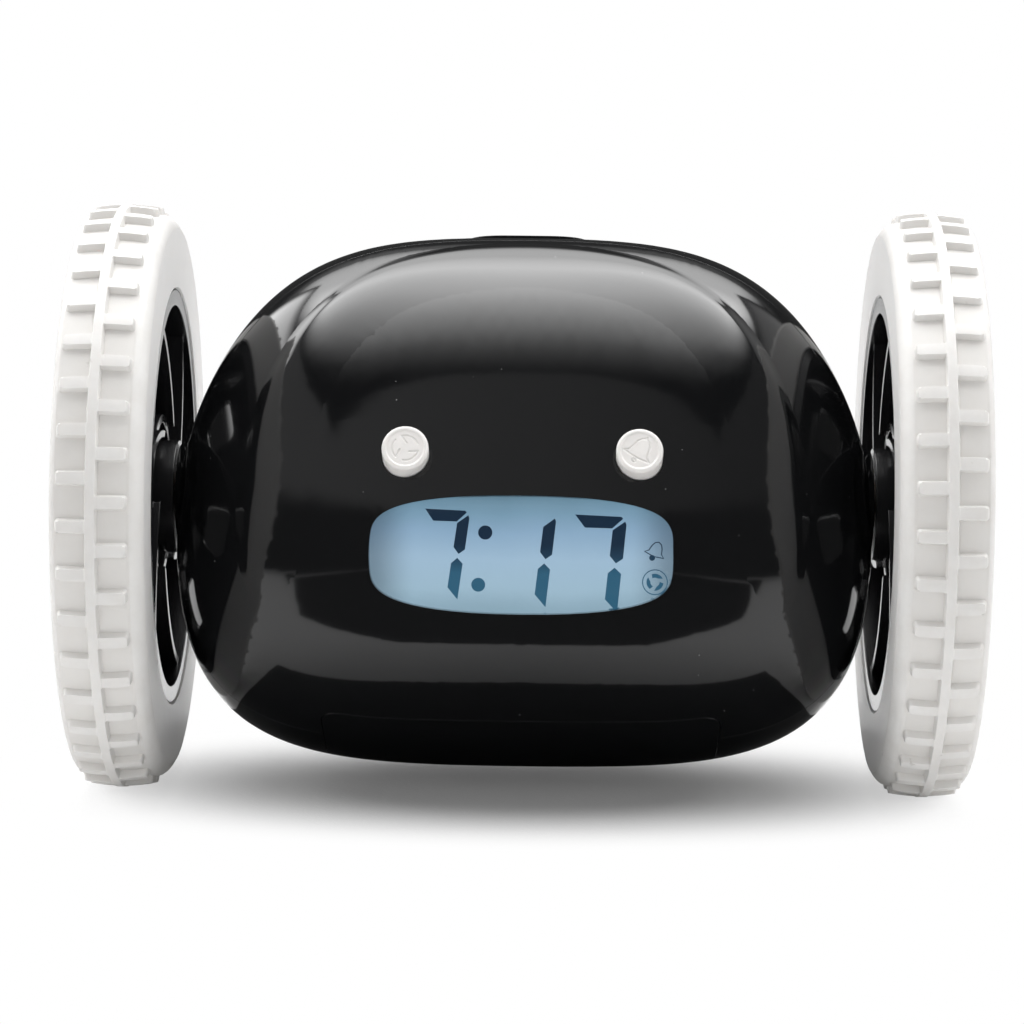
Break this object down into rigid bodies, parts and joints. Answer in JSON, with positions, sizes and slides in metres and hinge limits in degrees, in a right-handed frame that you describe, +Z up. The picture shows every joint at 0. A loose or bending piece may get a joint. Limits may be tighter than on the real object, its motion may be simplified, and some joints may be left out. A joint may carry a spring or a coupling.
{
  "type": "runaway alarm clock",
  "caption": "Two-wheeled runaway alarm clock: rounded gloss case with a lit display, push buttons and soft treaded tyres on geared wheels.",
  "frame": {"origin": "on the floor, midway between the wheels, straight under the axle", "axes": "+Z up, +X along the wheel axle to the right as seen from the front, the face and its display look along -Y"},
  "size_m": [0.1334, 0.0888, 0.0889],
  "materials": {
    "front_shell": "high gloss",
    "rear_shell": "high gloss",
    "battery_door": "high gloss",
    "door_screw": "zinc plated",
    "case_screws": "zinc plated",
    "lcd_lens": "clear acrylic",
    "lcd_panel": "liquid crystal glass",
    "backlight_diffuser": "diffusing acrylic",
    "zebra_strip": "conductive rubber",
    "lcd_holder": "matt",
    "main_board": "solder mask",
    "board_parts": "moulded",
    "face_key_board": "solder mask",
    "rear_key_board": "solder mask",
    "snooze_board": "solder mask",
    "tact_switches": "moulded",
    "board_screws": "zinc plated",
    "run_button": "satin",
    "alarm_button": "satin",
    "snooze_button": "satin",
    "time_set_button": "satin",
    "alarm_set_button": "satin",
    "hour_button": "satin",
    "minute_button": "satin",
    "speaker": "pressed steel",
    "battery_tray": "matt",
    "aaa_cells": "printed sleeve",
    "battery_springs": "nickel plated",
    "battery_contacts": "nickel plated",
    "motor": "plated can",
    "motor_pinion": "machined",
    "idler_gear_1": "acetal",
    "idler_gear_2": "acetal",
    "output_gear": "acetal",
    "gear_housing": "matt",
    "motor_plate": "matt",
    "gear_pins": "ground",
    "gearbox_screws": "zinc plated",
    "axle": "ground",
    "axle_bushes": "sintered",
    "wheel_hub": "high gloss",
    "hub_screw": "zinc plated",
    "hub_cap": "high gloss",
    "tyre": "soft, satin"
  },
  "bodies": {
    "case": {"front_shell": "front_shell", "rear_shell": "rear_shell", "battery_door": "battery_door", "door_screw": "door_screw", "case_screws": "case_screws", "lcd_lens": "lcd_lens", "lcd_panel": "lcd_panel", "backlight_diffuser": "backlight_diffuser", "zebra_strip": "zebra_strip", "lcd_holder": "lcd_holder", "main_board": "main_board", "board_parts": "board_parts", "face_key_board": "face_key_board", "rear_key_board": "rear_key_board", "snooze_board": "snooze_board", "tact_switches": "tact_switches", "board_screws": "board_screws", "speaker": "speaker", "battery_tray": "battery_tray", "aaa_cells": "aaa_cells", "battery_springs": "battery_springs", "battery_contacts": "battery_contacts", "left_motor": "motor", "left_gear_housing": "gear_housing", "left_motor_plate": "motor_plate", "left_gear_pins": "gear_pins", "left_gearbox_screws": "gearbox_screws", "left_axle_bushes": "axle_bushes", "right_motor": "motor", "right_gear_housing": "gear_housing", "right_motor_plate": "motor_plate", "right_gear_pins": "gear_pins", "right_gearbox_screws": "gearbox_screws", "right_axle_bushes": "axle_bushes"},
    "left_wheel": {"left_axle": "axle", "left_output_gear": "output_gear", "left_wheel_hub": "wheel_hub", "left_hub_screw": "hub_screw", "left_hub_cap": "hub_cap", "left_tyre": "tyre"},
    "left_idler_gear_2": {"left_idler_gear_2": "idler_gear_2"},
    "left_idler_gear_1": {"left_idler_gear_1": "idler_gear_1"},
    "left_motor_pinion": {"left_motor_pinion": "motor_pinion"},
    "right_wheel": {"right_axle": "axle", "right_output_gear": "output_gear", "right_wheel_hub": "wheel_hub", "right_hub_screw": "hub_screw", "right_hub_cap": "hub_cap", "right_tyre": "tyre"},
    "right_idler_gear_2": {"right_idler_gear_2": "idler_gear_2"},
    "right_idler_gear_1": {"right_idler_gear_1": "idler_gear_1"},
    "right_motor_pinion": {"right_motor_pinion": "motor_pinion"},
    "run_button": {"run_button": "run_button"},
    "alarm_button": {"alarm_button": "alarm_button"},
    "snooze_button": {"snooze_button": "snooze_button"},
    "time_set_button": {"time_set_button": "time_set_button"},
    "alarm_set_button": {"alarm_set_button": "alarm_set_button"},
    "hour_button": {"hour_button": "hour_button"},
    "minute_button": {"minute_button": "minute_button"}
  },
  "joints": [
    {"name": "left_wheel_spin", "type": "hinge", "parent": "case", "child": "left_wheel", "pos_m": [-0.058, 0, 0.04445], "axis": [1, 0, 0], "continuous": true},
    {"name": "left_idler_gear_2_spin", "type": "hinge", "parent": "case", "child": "left_idler_gear_2", "pos_m": [-0.04, 0.01081, 0.04052], "axis": [1, 0, 0], "continuous": true},
    {"name": "left_idler_gear_1_spin", "type": "hinge", "parent": "case", "child": "left_idler_gear_1", "pos_m": [-0.04, 0.00907, 0.05037], "axis": [1, 0, 0], "continuous": true},
    {"name": "left_motor_pinion_spin", "type": "hinge", "parent": "case", "child": "left_motor_pinion", "pos_m": [-0.04, 0.00108, 0.05638], "axis": [1, 0, 0], "continuous": true},
    {"name": "right_wheel_spin", "type": "hinge", "parent": "case", "child": "right_wheel", "pos_m": [0.058, 0, 0.04445], "axis": [1, 0, 0], "continuous": true},
    {"name": "right_idler_gear_2_spin", "type": "hinge", "parent": "case", "child": "right_idler_gear_2", "pos_m": [0.04, 0.01081, 0.04052], "axis": [1, 0, 0], "continuous": true},
    {"name": "right_idler_gear_1_spin", "type": "hinge", "parent": "case", "child": "right_idler_gear_1", "pos_m": [0.04, 0.00907, 0.05037], "axis": [1, 0, 0], "continuous": true},
    {"name": "right_motor_pinion_spin", "type": "hinge", "parent": "case", "child": "right_motor_pinion", "pos_m": [0.04, 0.00108, 0.05638], "axis": [1, 0, 0], "continuous": true},
    {"name": "run_button_press", "type": "slide", "parent": "case", "child": "run_button", "axis": [0, 0.8829, -0.4695], "range_m": [0, 0.0006], "stiffness_N_per_m": 600, "springref_m": -0.0003},
    {"name": "alarm_button_press", "type": "slide", "parent": "case", "child": "alarm_button", "axis": [0, 0.8829, -0.4695], "range_m": [0, 0.0006], "stiffness_N_per_m": 600, "springref_m": -0.0003},
    {"name": "snooze_button_press", "type": "slide", "parent": "case", "child": "snooze_button", "axis": [0, 0, -1], "range_m": [0, 0.0006], "stiffness_N_per_m": 600, "springref_m": -0.0003},
    {"name": "time_set_button_press", "type": "slide", "parent": "case", "child": "time_set_button", "axis": [0, -0.9659, -0.2588], "range_m": [0, 0.0006], "stiffness_N_per_m": 600, "springref_m": -0.0003},
    {"name": "alarm_set_button_press", "type": "slide", "parent": "case", "child": "alarm_set_button", "axis": [0, -0.9659, -0.2588], "range_m": [0, 0.0006], "stiffness_N_per_m": 600, "springref_m": -0.0003},
    {"name": "hour_button_press", "type": "slide", "parent": "case", "child": "hour_button", "axis": [0, -0.9659, -0.2588], "range_m": [0, 0.0006], "stiffness_N_per_m": 600, "springref_m": -0.0003},
    {"name": "minute_button_press", "type": "slide", "parent": "case", "child": "minute_button", "axis": [0, -0.9659, -0.2588], "range_m": [0, 0.0006], "stiffness_N_per_m": 600, "springref_m": -0.0003}
  ],
  "couplings": [
    {"joint": "left_idler_gear_2_spin", "follows": "left_wheel_spin", "ratio": -3.6},
    {"joint": "left_idler_gear_1_spin", "follows": "left_wheel_spin", "ratio": 10.8},
    {"joint": "left_motor_pinion_spin", "follows": "left_wheel_spin", "ratio": -32.4},
    {"joint": "right_idler_gear_2_spin", "follows": "right_wheel_spin", "ratio": -3.6},
    {"joint": "right_idler_gear_1_spin", "follows": "right_wheel_spin", "ratio": 10.8},
    {"joint": "right_motor_pinion_spin", "follows": "right_wheel_spin", "ratio": -32.4}
  ]
}
